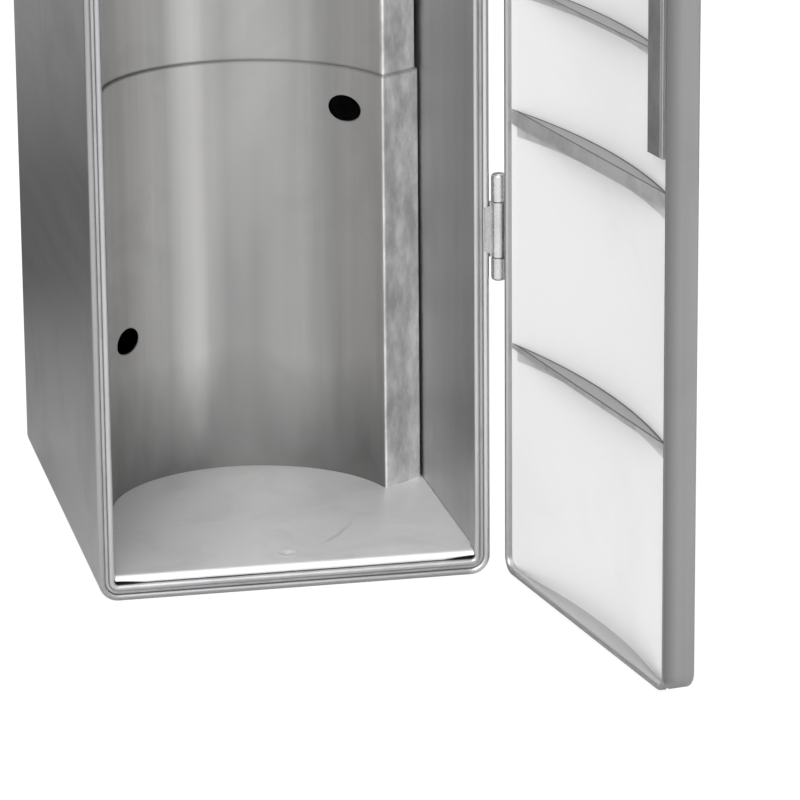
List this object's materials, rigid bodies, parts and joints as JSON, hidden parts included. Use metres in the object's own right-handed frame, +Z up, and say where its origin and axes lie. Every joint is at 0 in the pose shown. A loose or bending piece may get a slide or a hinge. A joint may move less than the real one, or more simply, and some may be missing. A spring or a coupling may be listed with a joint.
{
  "type": "wall cabinet",
  "caption": "Tall narrow wall cabinet in brushed steel with a half-round cradle inside and a ribbed, white-lined door hung on bullet hinges at the right.",
  "frame": {"origin": "centre of the shell's flat underside", "axes": "+Z up, +Y from the door side to the wall, +X to the right as seen from the front"},
  "size_m": [0.2532, 0.4706, 0.725],
  "materials": {
    "brushed_shell": "vertical brushed stainless steel",
    "brushed_lining": "brushed stainless steel",
    "satin_floor": "satin stainless steel, lightly scuffed",
    "cradle_steel": "vertical brushed stainless steel",
    "dark_spacer": "dull unpolished stainless steel",
    "hinge_steel": "polished weld-on hinge steel",
    "brushed_door": "brushed stainless steel",
    "white_panel": "matte white coat",
    "rib_steel": "satin stainless steel",
    "edge_strip": "pale grey edge tape",
    "channel_steel": "dull dark stainless steel",
    "lock_chrome": "chromed lock parts"
  },
  "bodies": {
    "cabinet": {"outer_shell": "brushed_shell", "back_panel": "brushed_shell", "lining": "brushed_lining", "groove_spacer": "dark_spacer", "floor_plate": "satin_floor", "floor_battens": "satin_floor", "ceiling_plate": "satin_floor", "ceiling_battens": "satin_floor", "lower_cradle": "cradle_steel", "middle_cradle": "cradle_steel", "upper_cradle": "cradle_steel", "lower_hinge_leaf": "hinge_steel", "upper_hinge_leaf": "hinge_steel"},
    "door": {"lower_hinge_knuckles": "hinge_steel", "upper_hinge_knuckles": "hinge_steel", "lower_hinge_pin": "hinge_steel", "upper_hinge_pin": "hinge_steel", "door_pan": "brushed_door", "door_panel_1": "white_panel", "door_panel_2": "white_panel", "door_panel_3": "white_panel", "door_panel_4": "white_panel", "door_panel_5": "white_panel", "door_panel_6": "white_panel", "door_panel_7": "white_panel", "door_rib_1": "rib_steel", "door_rib_2": "rib_steel", "door_rib_3": "rib_steel", "door_rib_4": "rib_steel", "door_rib_5": "rib_steel", "door_rib_6": "rib_steel", "door_edge_strips": "edge_strip", "lock_channel": "channel_steel", "lock_barrel": "lock_chrome", "lock_nut": "lock_chrome"},
    "lock": {"lock_plug": "lock_chrome", "lock_cam": "lock_chrome", "cam_screw": "lock_chrome"}
  },
  "joints": [
    {"name": "door_swing", "type": "hinge", "parent": "cabinet", "child": "door", "pos_m": [0.1044, -0.13485, 0.3625], "axis": [0, 0, 1], "range_deg": [-98.7, 81.3]},
    {"name": "lock_turn", "type": "hinge", "parent": "door", "child": "lock", "pos_m": [0.13191, -0.32022, 0.3625], "axis": [0.9885, 0.1513, 0], "range_deg": [0, 90]}
  ]
}
